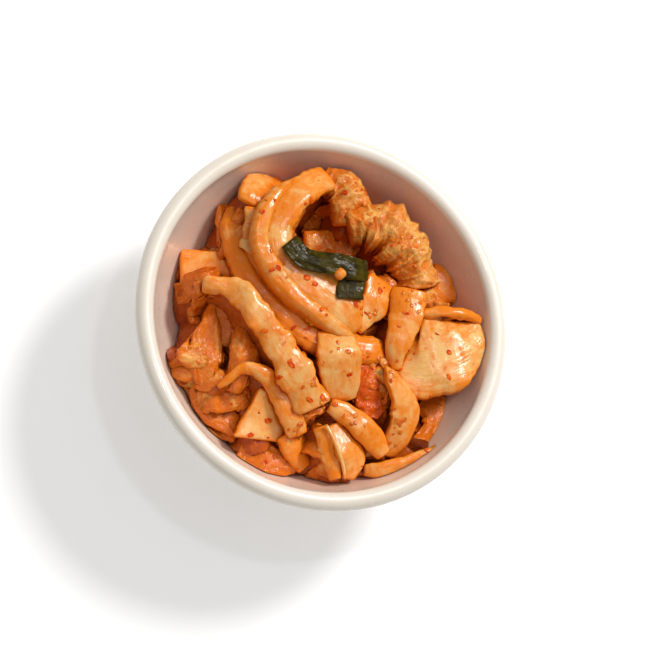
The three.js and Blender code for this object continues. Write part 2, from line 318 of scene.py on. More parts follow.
def build_stain_group():
    """Uneven patches of red sauce on a wet surface, in two sizes."""
    group, source, sink = new_group(
        "sauce_stain",
        [("Place", "NodeSocketVector"), ("Amount", "NodeSocketFloat")],
        [("Mask", "NodeSocketFloat"), ("Spots", "NodeSocketFloat")],
    )
    nodes, links = group.nodes, group.links
    broad = noise_node(nodes, links, source.outputs["Place"], 170, 3, 0.6, 0.8)
    fine = noise_node(nodes, links, source.outputs["Place"], 620, 4, 0.65, 0.4)
    both = math_node(nodes, links, "ADD", math_node(nodes, links, "MULTIPLY", broad, 0.7),
                     math_node(nodes, links, "MULTIPLY", fine, 0.3))
    lifted = math_node(nodes, links, "ADD", both, source.outputs["Amount"])
    links.new(map_range(nodes, links, lifted, 0.36, 0.66), sink.inputs["Mask"])
    specks = noise_node(nodes, links, source.outputs["Place"], 700, 2, 0.5, 0.6)
    raised = math_node(nodes, links, "ADD", specks, math_node(nodes, links, "MULTIPLY", broad, 0.25))
    links.new(map_range(nodes, links, raised, 0.74, 0.86), sink.inputs["Spots"])
    return group


def build_fibre_group():
    """Fine lines that run along a stalk, as a height."""
    group, source, sink = new_group(
        "stalk_fibres",
        [("Lay", "NodeSocketVector"), ("Place", "NodeSocketVector")],
        [("Height", "NodeSocketFloat"), ("Lines", "NodeSocketFloat")],
    )
    nodes, links = group.nodes, group.links
    stretch = nodes.new("ShaderNodeMapping")
    stretch.inputs["Scale"].default_value = (0.7, 0.07, 1.0)
    links.new(source.outputs["Lay"], stretch.inputs["Vector"])
    lines = noise_node(nodes, links, stretch.outputs["Vector"], 1.7, 3, 0.6, 0.15)
    skin = noise_node(nodes, links, source.outputs["Place"], 480, 3, 0.55, 0.3)
    links.new(map_range(nodes, links, lines, 0.35, 0.65, -0.5, 0.5), sink.inputs["Lines"])
    links.new(math_node(nodes, links, "ADD", math_node(nodes, links, "MULTIPLY", lines, 0.6),
                        math_node(nodes, links, "MULTIPLY", skin, 0.55)), sink.inputs["Height"])
    return group


def build_wrinkle_group():
    """Wrinkles and fine veins of a thin leaf, as a height."""
    group, source, sink = new_group(
        "leaf_wrinkles",
        [("Place", "NodeSocketVector")],
        [("Height", "NodeSocketFloat"), ("Veins", "NodeSocketFloat")],
    )
    nodes, links = group.nodes, group.links
    folds = nodes.new("ShaderNodeTexNoise")
    folds.noise_type = "RIDGED_MULTIFRACTAL"
    set_values(folds, Scale=330, Detail=3, Roughness=0.55, Distortion=0.5)
    links.new(source.outputs["Place"], folds.inputs["Vector"])
    veins = map_range(nodes, links, folds.outputs["Fac"], 0.55, 1.35)
    rough = noise_node(nodes, links, source.outputs["Place"], 800, 3, 0.6, 0.6)
    links.new(veins, sink.inputs["Veins"])
    links.new(math_node(nodes, links, "ADD", math_node(nodes, links, "MULTIPLY", veins, 0.7),
                        math_node(nodes, links, "MULTIPLY", rough, 0.5)), sink.inputs["Height"])
    return group


SAUCE_STAIN = build_stain_group()
STALK_FIBRES = build_fibre_group()
LEAF_WRINKLES = build_wrinkle_group()


def wet_surface(shader, roughness, subsurface, radius):
    """The gloss and depth of a wet, half see-through piece."""
    set_values(
        shader, Roughness=roughness, IOR=1.4, Subsurface_Weight=subsurface, Subsurface_Scale=0.0013)
    shader.inputs["Subsurface Radius"].default_value = radius


def add_bump(nodes, links, shader, height, distance):
    bump = nodes.new("ShaderNodeBump")
    set_values(bump, Strength=1.0, Distance=distance)
    links.new(height, bump.inputs["Height"])
    links.new(bump.outputs["Normal"], shader.inputs["Normal"])


def lay_fibres(nodes, links, place):
    """The fibres, laid along a piece by its UV map."""
    fibres = use_group(nodes, STALK_FIBRES)
    links.new(place, fibres.inputs["Place"])
    lay = nodes.new("ShaderNodeUVMap")
    lay.uv_map = "UVMap"
    links.new(lay.outputs["UV"], fibres.inputs["Lay"])
    return fibres


def cabbage_material(name, pale, sauce, shade_colour, stain, bump, leafy=False):
    """Cabbage: pale on its open faces, sauce-coloured in patches and towards the edges, and deep red as
    painted shade where other pieces cover it.
    """
    material, nodes, links, shader = new_material(name)
    place = object_place(nodes)
    patches = use_group(nodes, SAUCE_STAIN, Amount=stain)
    links.new(place, patches.inputs["Place"])
    tint = attribute(nodes, "tint")
    low = attribute(nodes, "low")
    rim = attribute(nodes, "edge")
    gap = attribute(nodes, "gap")
    if leafy:
        wrinkles = use_group(nodes, LEAF_WRINKLES)
        links.new(place, wrinkles.inputs["Place"])
        height = wrinkles.outputs["Height"]
        streaks = math_node(nodes, links, "MULTIPLY", wrinkles.outputs["Veins"], -0.35)
    else:
        fibres = lay_fibres(nodes, links, place)
        height = fibres.outputs["Height"]
        streaks = math_node(nodes, links, "MULTIPLY", fibres.outputs["Lines"], 0.18)
    # Sauce colour from patches, edges, tint and fibres, plus more in fold valleys and where other pieces
    # cover it: there it is partly sauce gathered and partly painted shade.
    sauce_and_shade = add_up(nodes, links, [
        patches.outputs["Mask"],
        math_node(nodes, links, "MULTIPLY", low, 0.5),
        math_node(nodes, links, "MULTIPLY", rim, 0.8),
        tint,
        streaks,
        map_range(nodes, links, gap, 0.1, 0.6, 0.0, 0.6),
    ])
    colour = blend_colour(nodes, links, sauce_and_shade, pale, sauce)
    # Tints above 1 blend towards dark red; on pieces that lie in shade this is painted shade.
    colour = blend_colour(nodes, links, map_range(nodes, links, tint, 1.0, 2.0), colour, (0.74, 0.09, 0.002))
    # Painted shade: the colour turns deep red where other pieces cover the sky above a point.
    shade = map_range(nodes, links, gap, 0.35, 0.95)
    colour = blend_colour(nodes, links, shade, colour, shade_colour)
    colour = blend_colour(nodes, links, math_node(nodes, links, "MULTIPLY", patches.outputs["Spots"], 0.6),
                          colour, (0.74, 0.13, 0.006))
    links.new(colour, shader.inputs["Base Color"])
    wet_surface(shader, 0.15 if leafy else 0.18, 0.5, (1.0, 0.42, 0.1))
    add_bump(nodes, links, shader, height, bump)
    return material


# The third colour of each is the painted shade for places that other pieces cover.
STALK_MATERIAL = cabbage_material(
    "stalk", (0.88, 0.49, 0.16), (0.86, 0.24, 0.01), (0.5, 0.07, 0.004), 0.05, 0.00022)
LEAF_MATERIAL = cabbage_material(
    "leaf", (0.86, 0.43, 0.1), (0.72, 0.17, 0.008), (0.2, 0.02, 0.002), 0.0, 0.0009, leafy=True)


def core_material():
    """The bottom of the heap, wet with sauce, darkened as painted shade where no light reaches."""
    material, nodes, links, shader = new_material("soaked_heap")
    place = object_place(nodes)
    patches = use_group(nodes, SAUCE_STAIN, Amount=0.0)
    links.new(place, patches.inputs["Place"])
    colour = blend_colour(nodes, links, patches.outputs["Mask"], (0.6, 0.13, 0.01), (0.42, 0.06, 0.004))
    # Painted shade: near black where other pieces cover the sky above a point.
    colour = blend_colour(nodes, links, map_range(nodes, links, attribute(nodes, "gap"), 0.4, 0.95),
                          colour, (0.16, 0.02, 0.002))
    links.new(colour, shader.inputs["Base Color"])
    wrinkles = use_group(nodes, LEAF_WRINKLES)
    links.new(place, wrinkles.inputs["Place"])
    wet_surface(shader, 0.24, 0.2, (1.0, 0.35, 0.12))
    add_bump(nodes, links, shader, wrinkles.outputs["Height"], 0.0005)
    return material


def glaze_material():
    """Cream glaze with faint mottling and a few tiny brown specks, and inside a sauce film with painted
    shade and painted reflected red.
    """
    material, nodes, links, shader = new_material("cream_glaze")
    place = object_place(nodes)
    cloud = noise_node(nodes, links, place, 60, 4, 0.55, 0.2)
    colour = blend_colour(nodes, links, map_range(nodes, links, cloud, 0.3, 0.7),
                          (0.88, 0.8, 0.69), (0.85, 0.76, 0.64))
    uneven = map_range(nodes, links, noise_node(nodes, links, place, 45, 3, 0.6, 0.5), 0.2, 0.8, 0.35, 1.0)
    # Sauce film with painted shade and painted reflected red from the kimchi on the inner wall.
    film_and_shade = math_node(nodes, links, "MULTIPLY", attribute(nodes, "inside"), uneven)
    colour = blend_colour(nodes, links, film_and_shade, colour, (0.68, 0.23, 0.06))
    cells = nodes.new("ShaderNodeTexVoronoi")
    set_values(cells, Scale=105)
    links.new(place, cells.inputs["Vector"])
    speck = map_range(nodes, links, cells.outputs["Distance"], 0.035, 0.055, 1.0, 0.0)
    sparse = map_range(nodes, links, noise_node(nodes, links, place, 90, 1), 0.6, 0.63)
    speck = math_node(nodes, links, "MULTIPLY", speck, sparse)
    colour = blend_colour(nodes, links, math_node(nodes, links, "MULTIPLY", speck, 0.6),
                          colour, (0.42, 0.24, 0.12))
    links.new(colour, shader.inputs["Base Color"])
    rough = map_range(nodes, links, noise_node(nodes, links, place, 240, 3), 0.3, 0.7, 0.26, 0.36)
    links.new(rough, shader.inputs["Roughness"])
    set_values(shader, IOR=1.5, Coat_Weight=0.25, Coat_Roughness=0.08)
    add_bump(nodes, links, shader, noise_node(nodes, links, place, 130, 3), 0.00012)
    return material


def green_material():
    """Dark wet onion green with fine lines along the leaf and pinkish cut edges."""
    material, nodes, links, shader = new_material("onion_green")
    place = object_place(nodes)
    cloud = noise_node(nodes, links, place, 380, 3, 0.6)
    colour = blend_colour(nodes, links, map_range(nodes, links, cloud, 0.35, 0.7),
                          (0.022, 0.015, 0.0005), (0.075, 0.052, 0.002))
    edge = map_range(nodes, links, attribute(nodes, "edge"), 0.75, 1.0)
    colour = blend_colour(nodes, links, math_node(nodes, links, "MULTIPLY", edge, 0.35),
                          colour, (0.35, 0.16, 0.06))
    links.new(colour, shader.inputs["Base Color"])
    fibres = lay_fibres(nodes, links, place)
    set_values(shader, Roughness=0.17, IOR=1.22)
    add_bump(nodes, links, shader, fibres.outputs["Height"], 0.00035)
    return material


def chilli_material():
    """Red chilli flakes, from bright to dark red."""
    material, nodes, links, shader = new_material("chilli_flake")
    place = object_place(nodes)
    cloud = noise_node(nodes, links, place, 900, 2, 0.5)
    colour = blend_colour(nodes, links, map_range(nodes, links, cloud, 0.35, 0.65),
                          (0.6, 0.035, 0.002), (0.85, 0.15, 0.004))
    links.new(colour, shader.inputs["Base Color"])
    set_values(shader, Roughness=0.35, IOR=1.2)
    add_bump(nodes, links, shader, cloud, 0.0003)
    return material


def seed_material():
    """Wet seeds and drops of sauce, from pale orange to red."""
    material, nodes, links, shader = new_material("wet_seed")
    place = object_place(nodes)
    cloud = noise_node(nodes, links, place, 700, 2, 0.5)
    colour = blend_colour(nodes, links, map_range(nodes, links, cloud, 0.35, 0.65),
                          (0.8, 0.11, 0.003), (0.86, 0.22, 0.008))
    links.new(colour, shader.inputs["Base Color"])
    set_values(shader, Roughness=0.14, IOR=1.45, Subsurface_Weight=0.3, Subsurface_Scale=0.001)
    add_bump(nodes, links, shader, cloud, 0.0001)
    return material


def floor_material():
    material, nodes, links, shader = new_material("white_table")
    place = object_place(nodes)
    grain = noise_node(nodes, links, place, 40, 2)
    colour = blend_colour(nodes, links, grain, (0.79, 0.79, 0.79), (0.81, 0.81, 0.81))
    links.new(colour, shader.inputs["Base Color"])
    set_values(shader, Roughness=0.9, Emission_Color=(1, 1, 1, 1), Emission_Strength=0.33)
    return material


# The bowl
def bowl_outline():
    """Radius and height along the bowl's section, from the middle of its foot to the middle of its floor."""
    outline = [(0, FOOT_RECESS), (12, FOOT_RECESS)]
    ring_inside = FOOT_RADIUS - FOOT_WIDTH
    outline += [(ring_inside - 1.0, FOOT_RECESS), (ring_inside - 0.45, FOOT_RECESS * 0.8),
                (ring_inside - 0.2, FOOT_RECESS * 0.4), (ring_inside + 0.1, 0.12), (ring_inside + 0.6, 0.0)]
    outline += [(FOOT_RADIUS - 1.2, 0.0), (FOOT_RADIUS - 0.5, 0.08), (FOOT_RADIUS - 0.1, 0.35)]
    for height in np.linspace(0.9, RIM_CENTRE_HEIGHT, 40)[:-1]:
        outline.append((float(outer_radius(height)), float(height)))
    for turn in np.linspace(0, math.pi, 25):
        outline.append((RIM_RADIUS - RIM_TUBE + RIM_TUBE * math.cos(turn),
                        RIM_CENTRE_HEIGHT + RIM_TUBE * math.sin(turn)))
    for share in np.linspace(1, 0, 44)[1:]:
        height = FLOOR_TOP + (RIM_CENTRE_HEIGHT - FLOOR_TOP) * share ** 1.5
        outline.append((float(inner_radius(height)), float(height)))
    outline += [(14, FLOOR_TOP - 0.05), (7, FLOOR_TOP - 0.05), (0, FLOOR_TOP - 0.05)]
    return outline


def make_bowl():
    outline = bowl_outline()
    points = [(0, 0, outline[0][1])]
    inside = [0.0]
    for radius, height in outline[1:-1]:
        in_bowl = radius < outer_radius(height) - 2.5 and height > FLOOR_TOP - 1
        # Strength of the sauce film and painted shade: stronger lower down, and below on the shaded side.
        sauce_and_shade = float(np.clip((FILM_AND_SHADE_TOP - height) / FILM_AND_SHADE_DEPTH, 0, 1)) if in_bowl else 0.0
        for side in range(BOWL_SIDES):
            turn = 2 * math.pi * side / BOWL_SIDES
            inside.append(sauce_and_shade * (FILM_AND_SHADE_MEAN + FILM_AND_SHADE_SWING * math.cos(turn - FILM_AND_SHADE_SIDE)))
            points.append((radius * math.cos(turn), radius * math.sin(turn), height))
    points.append((0, 0, outline[-1][1]))
    inside.append(FLOOR_FILM_AND_SHADE)
    rings = len(outline) - 2
    last = len(points) - 1
    faces = []
    for side in range(BOWL_SIDES):
        beside = (side + 1) % BOWL_SIDES
        faces.append((0, 1 + beside, 1 + side))
        for ring in range(rings - 1):
            low = 1 + ring * BOWL_SIDES
            high = low + BOWL_SIDES
            faces.append((low + side, low + beside, high + beside, high + side))
        top = 1 + (rings - 1) * BOWL_SIDES
        faces.append((top + side, top + beside, last))
    bowl = make_object("glazed_bowl", points, faces, glaze_material(), {"inside": inside})
    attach(bowl, "root")
    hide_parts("bowl")


# The pieces of cabbage: rows of x, y, z and width along each piece, from one end to the other
PIECES = {
    "long_strip": dict(
        path=[(-27.2, 8, 31.5, 3), (-25.4, 7.6, 32.6, 4.6), (-21.5, 6.8, 34, 5.2), (-18, 4, 35.5, 6),
              (-14.5, -0.5, 36, 6.5), (-11, -5.5, 36, 7), (-7.5, -10.5, 36, 8.4), (-4, -15.5, 35, 9),
              (-1, -20, 33, 7.5)],
        thick=2.8, arch=0.7, roll=-14, ruffle=0.6, waves=0.12, tint=-0.1),
    "small_strip": dict(
        path=[(-23, -16, 30, 1.2), (-21, -14.3, 31, 2), (-18.5, -12, 32, 2.6), (-16, -11.5, 32.5, 3),
              (-13, -12.5, 32.5, 3.9), (-10, -15, 32, 4.7), (-7.5, -19, 31.5, 5.2),
              (-5.5, -22.5, 31, 5.6), (-3.7, -26, 30, 4.4)],
        thick=2.0, arch=0.6, roll=-12, waves=0.06, tint=0.05),
    "corner_slab": dict(
        path=[(-12.6, -15.4, 29.8, 1.6), (-12.2, -19, 29, 5.5), (-11.8, -23, 28, 10.5), (-12, -27, 27, 13)],
        thick=1.7, arch=0.1, roll=4, tint=-0.5),
    "pale_block": dict(
        path=[(-31, 13.6, 24, 8.6), (-27, 13.8, 25, 8), (-22, 13.8, 26, 7.2), (-17, 13.6, 27, 7)],
        thick=3.4, arch=0.5, tint=0.1),
    "folded_stalk": dict(
        path=[(-9.5, 35.4, 29.5, 10), (-12.4, 32.4, 32.4, 10.6), (-15, 29, 34.2, 9.6),
              (-16.4, 26.4, 34.4, 7.5)],
        thick=1.6, arch=0.9, square=6.0, twist=14, tint=0.05),
    "back_strip": dict(
        path=[(-18.6, 28, 27.5, 5), (-19, 22.5, 29, 7), (-17.2, 16.2, 30.5, 9), (-13.8, 10, 31.6, 10.5),
              (-9.2, 4.4, 32.6, 11), (-3.4, -0.4, 33.2, 10), (2.6, -3.8, 33.6, 8.6),
              (8.6, -5.2, 33.8, 7.4), (13.8, -5.4, 33.4, 6.6), (18, -5.2, 31.4, 4.5)],
        thick=3.0, arch=1.0, square=4.0, grooves=0.12, tint=0.3),
    "back_ridge": dict(
        path=[(-17.4, 23, 31, 2.6), (-16, 17.4, 32.4, 3.4), (-12.8, 11.4, 33.8, 4), (-8.4, 6, 34.8, 4.2),
              (-2.9, 1.6, 35.2, 3.8), (3, -1.8, 35.2, 2.6)],
        thick=2.0, arch=0.5, square=3.0, tint=0.25),
    "main_stalk": dict(
        path=[(1.5, 35, 35, 6.5), (-4.5, 31.5, 37.5, 7.5), (-9.5, 26.5, 38, 8.5), (-12, 20.5, 37.5, 8.6),
              (-11, 14.5, 37, 9.5), (-6.2, 10, 37, 12.5), (-0.8, 7.4, 37, 16), (4, 3.6, 36.8, 14),
              (8.6, -1.8, 35.5, 3)],
        thick=3.4, arch=0.5, square=4.0, lean=-0.4, grooves=0.1),
    "main_ridge": dict(
        path=[(-10.5, 30.5, 38, 3), (-14.2, 25, 38.1, 4.6), (-15.2, 18.6, 37.6, 5.4),
              (-12.6, 12, 37.2, 5.8), (-7.4, 6, 37.2, 5.8), (-1.4, 1.6, 37.2, 5.2), (4, -1.6, 36.6, 4.2),
              (8.6, -3.6, 35.2, 2.4)],
        thick=3.0, arch=0.9, square=3.0, grooves=0.1, tint=0.05),
    "fold_face": dict(
        path=[(16, 11, 34.5, 8.5), (13.6, 6.4, 35.4, 8.5), (11, 1.8, 35.2, 5), (9.4, -1.6, 34.6, 1.6)],
        thick=1.6, arch=0.5, roll=14, tint=-0.05),
    "upright_strip": dict(
        path=[(21.8, 9.4, 36.2, 8), (20.8, 4.5, 37, 8.4), (19.6, -0.5, 37, 7), (18.4, -5.4, 36, 5.4),
              (18.6, -10, 34.5, 2.6)],
        thick=1.9, arch=0.7, roll=-12, waves=0.06, tint=0.15),
    "big_stalk": dict(
        path=[(21.5, -5.6, 33, 14), (24.5, -6.6, 34.8, 19.4), (29.5, -5.6, 36, 18.8),
              (34.5, -3.2, 36, 14), (40, 0.8, 34.8, 6.6)],
        thick=2.8, arch=1.2, lean=0.2, grooves=0.06, tint=-0.4),
    "rolled_edge": dict(
        path=[(22, 2.8, 35.2, 2), (25.5, 3.8, 36.9, 2.6), (30, 4.2, 37.7, 2.8), (35, 4, 37.2, 2.6),
              (39.5, 3.2, 35.6, 1.8)],
        thick=1.6, arch=0.4, square=3.0, waves=0.18, ruffle=0.4, tint=0.5),
    "shaded_stalk": dict(
        path=[(30, 13.5, 28, 10.5), (34.5, 13, 28, 9), (39, 11, 27, 3)],
        thick=2.4, arch=0.8, tint=0.3),
    "folded_slab": dict(
        path=[(3.2, -2.2, 34.6, 8.6), (3.5, -4.6, 36.6, 9.6), (3.9, -7.6, 37.4, 10.6),
              (4.5, -10.4, 36.4, 10.8), (5.4, -13.6, 34.4, 9.6), (6.8, -17.4, 31.6, 7.4)],
        thick=2.6, arch=0.4, waves=0.05, tint=-0.3),
    "pointed_strip": dict(
        path=[(15.5, -9.7, 37, 0.8), (17.4, -13.2, 37, 4.2), (20.2, -17.4, 36, 6.8), (20.8, -20.8, 35, 7),
              (20, -24.4, 33.4, 6.4), (18.8, -27.5, 31.4, 5.4), (18, -29.8, 30, 4)],
        thick=1.7, arch=0.3, roll=10),
    "lower_strip": dict(
        path=[(2.6, -19.2, 33.8, 3.4), (6.4, -21, 34.2, 5.2), (10.5, -23.8, 34, 6), (14, -27, 33, 5.6),
              (16.4, -29.8, 32, 3.6)],
        thick=1.9, arch=0.6, roll=-8, waves=0.05, tint=0.2),
    "ridged_fold_left": dict(
        path=[(1, -24, 32.2, 3.6), (2.4, -28, 32.2, 4.2), (4, -32, 31.4, 4.4), (5.4, -35.6, 29.8, 3)],
        thick=1.3, arch=0.5, roll=-24, tint=0.1),
    "ridged_fold": dict(
        path=[(4.6, -23, 32.2, 5.4), (7, -27.5, 32.4, 7), (8.8, -31.5, 31.6, 6.8), (8.4, -35.6, 29.8, 3)],
        thick=1.4, arch=0.6, roll=16, tint=-0.05),
    "fold_line": dict(
        path=[(1.8, -24, 34.2, 0.7), (4, -28.4, 34.2, 0.9), (6, -32.4, 33.2, 0.9), (7.4, -35.8, 31, 0.7)],
        thick=0.6, arch=0.1, ruffle=0.0, square=2.2, tint=-0.7),
    "wall_strip": dict(
        path=[(12.3, -33.2, 29.5, 2.6), (16.8, -33, 31, 4), (22, -31.8, 32, 4.2), (26.5, -29.6, 33, 3.6),
              (29.5, -28, 34, 1.6)],
        thick=1.5, arch=0.4, roll=-10, tint=0.1),
    "low_stalk": dict(
        path=[(-6.5, -25.5, 28, 4.4), (-4, -28.5, 27, 6), (-0.5, -32.5, 25, 4)],
        thick=2.0, arch=0.6, tint=0.35),
    "thin_flap": dict(
        path=[(-15, 26, 35.6, 7), (-15.4, 23.4, 35.4, 6), (-16.4, 20.6, 34.6, 4.8), (-17, 18.6, 33.4, 2.6)],
        thick=0.7, arch=0.4, ruffle=0.25, tint=-0.3),
    "clear_scrap": dict(
        path=[(-19, 18.2, 32.6, 2), (-17.4, 18, 33.6, 3.4), (-15.4, 15.8, 34.6, 2.8),
              (-13.6, 13.2, 36.6, 1.2)],
        thick=0.5, arch=0.3, ruffle=0.3, tint=-0.7),
    "film_edge": dict(
        path=[(-4.6, 32.4, 38.4, 0.7), (-6.6, 29.4, 39.2, 1), (-8.2, 26, 39.6, 1.2),
              (-9.2, 21, 39.2, 1.1), (-9.2, 16, 38.4, 0.8)],
        thick=0.6, arch=0.1, ruffle=0.1, square=2.4, tint=-0.8),
    "leaf_roll_top": dict(
        path=[(1, 36, 33, 6), (5.5, 33.5, 34, 9.5), (8, 29.5, 34, 10.5), (8.5, 24.5, 33, 10)],
        thick=5, arch=1.5, square=2.4, crumple=1.1, grain=(1.1, 0.7), leafy=True),
    "leaf_roll": dict(
        path=[(7, 24, 33, 8), (11.5, 25.5, 34, 11.5), (17, 23.5, 34.5, 13.5), (21, 19.5, 34.5, 13),
              (23.8, 15, 34, 11), (25.2, 10.5, 33, 9.5)],
        thick=8, arch=2.2, square=2.4, crumple=1.2, waves=0.14, grain=(1.1, 0.7), tint=-0.1, leafy=True),
    "roll_tail": dict(
        path=[(23.5, 12.5, 33.5, 9.5), (26, 9.5, 33.5, 9), (28, 6, 31.5, 6)],
        thick=2.4, arch=1, crumple=1.0, tint=0.1, leafy=True),
    "hollow_leaf": dict(
        path=[(-2, 21.5, 28, 4.5), (4, 21.5, 28, 6), (10.5, 20, 28, 5.5)],
        thick=1.6, arch=0.5, crumple=0.5, tint=0.3, leafy=True),
    "red_leaf": dict(
        path=[(13, -6, 33, 7), (13.4, -11.5, 33, 8), (13.4, -17, 32.4, 8), (13, -21, 31, 6)],
        thick=2.0, arch=0.5, crumple=0.7, tint=1.7, leafy=True),
    # Its high tint is painted shade: this leaf lies in shade against the wall.
    "deep_leaf": dict(
        path=[(28, -14.5, 26, 7), (32, -17.8, 27.5, 9), (31.4, -22.5, 28.6, 8.5), (27, -26.4, 29, 6.5),
              (22.5, -28.5, 28, 5)],
        thick=1.3, arch=0.8, crumple=0.7, grain=(0.4, 1.3), tint=0.9, leafy=True),
    "left_leaf": dict(
        path=[(-23.2, 4.6, 26, 3.2), (-24, 0, 27, 5), (-24.8, -4.5, 27.4, 7.5), (-25.4, -9.5, 27, 8.5),
              (-24.6, -14.5, 25, 4.4)],
        thick=1.6, arch=1.2, crumple=1.2, grain=(0.35, 1.2), tint=0.35, leafy=True),
    "left_leaf_tip": dict(
        path=[(-24.5, -7, 27, 7.5), (-29, -8.6, 27.8, 5.5), (-32.5, -8.2, 28.2, 2.4)],
        thick=1.2, arch=0.8, crumple=0.8, grain=(0.35, 1.2), leafy=True),
    "veined_leaf": dict(
        path=[(-15, 1.5, 28, 5), (-15.6, -3, 30, 7.5), (-16.4, -7.5, 30.5, 8), (-17.6, -12, 29.5, 6),
              (-18.5, -16, 27, 4)],
        thick=1.6, arch=1.4, crumple=0.8, grain=(0.3, 1.3), tint=0.4, leafy=True),
    "low_leaf": dict(
        path=[(-26, -13.5, 22, 5), (-22.5, -18, 22.5, 8), (-18.5, -21, 22, 8.5), (-15, -24.5, 21.5, 5)],
        thick=1.6, arch=0.8, crumple=1.0, grain=(0.4, 1.2), tint=0.9, leafy=True),
    "bottom_leaf": dict(
        path=[(-16, -28.5, 23.5, 4), (-11.5, -30.5, 24, 7), (-7, -31, 25, 8), (-2.5, -31.5, 25, 5)],
        thick=1.4, arch=0.6, crumple=0.7, grain=(0.4, 1.2), tint=1.1, leafy=True),
    "inner_flap": dict(
        path=[(-15, -11.5, 25.5, 6), (-16.5, -16, 26, 6), (-15, -19.5, 25, 4)],
        thick=1.2, arch=0.6, crumple=0.7, grain=(0.4, 1.2), tint=0.2, leafy=True),
    # Its tint above 1 is painted shade: this leaf lies in shade.
    "shaded_leaf": dict(
        path=[(-20.5, 5.5, 27, 6.5), (-20, 0.5, 27, 8), (-20, -5.5, 26, 7)],
        thick=1.4, arch=0.6, crumple=0.7, grain=(0.3, 1.3), tint=1.1, leafy=True),
    "crumb": dict(
        path=[(2.2, 11.2, 41.1, 2), (3, 10.4, 41.3, 2.3), (3.8, 9.6, 41.1, 1.9)],
        thick=0.95, arch=0.6, waves=0.15, tint=0.1),
}

GREEN_PIECES = {
    "green_leaf_upper": dict(
        path=[(-9.2, 17.5, 40.2, 5), (-6, 14, 40.6, 5), (-1.5, 13, 40.8, 5), (3.5, 12.5, 40.8, 5.4),
              (7.5, 12, 40.6, 5.6), (10.2, 12, 40.2, 5.2)],
        thick=0.9, ruffle=0.3, crumple=0.25, grain=(0.5, 1.6), waves=0.09),
    "green_leaf_fold": dict(
        path=[(7, 12, 40.2, 5.6), (6.5, 9.5, 39.8, 6.2), (6, 7.5, 39.6, 6.5), (6, 5, 39.2, 6.2)],
        thick=0.9, ruffle=0.25, crumple=0.2, grain=(0.5, 1.6), waves=0.08),
}


def section_directions(centre, along, roll, twist):
    """Directions to the side and out of the upper face at each step of a path."""
    forward = np.gradient(centre, axis=0)
    forward /= np.linalg.norm(forward, axis=1, keepdims=True)
    across = np.stack([forward[:, 1], -forward[:, 0], np.zeros(len(centre))], axis=1)
    across /= np.linalg.norm(across, axis=1, keepdims=True)
    up = np.cross(across, forward)
    tilt = np.radians(roll + twist * (along / along[-1] - 0.5))[:, None]
    side = across * np.cos(tilt) + up * np.sin(tilt)
    return side, np.cross(side, forward)


def tube_faces(rows, around):
    """Faces of a closed tube with the given rows of points."""
    faces = []
    for row in range(rows - 1):
        for k in range(around):
            a = row * around + k
            b = row * around + (k + 1) % around
            faces.append((a, b, b + around, a + around))
    first = list(range(around))[::-1]
    last = [(rows - 1) * around + k for k in range(around)]
    return faces + [tuple(first), tuple(last)]


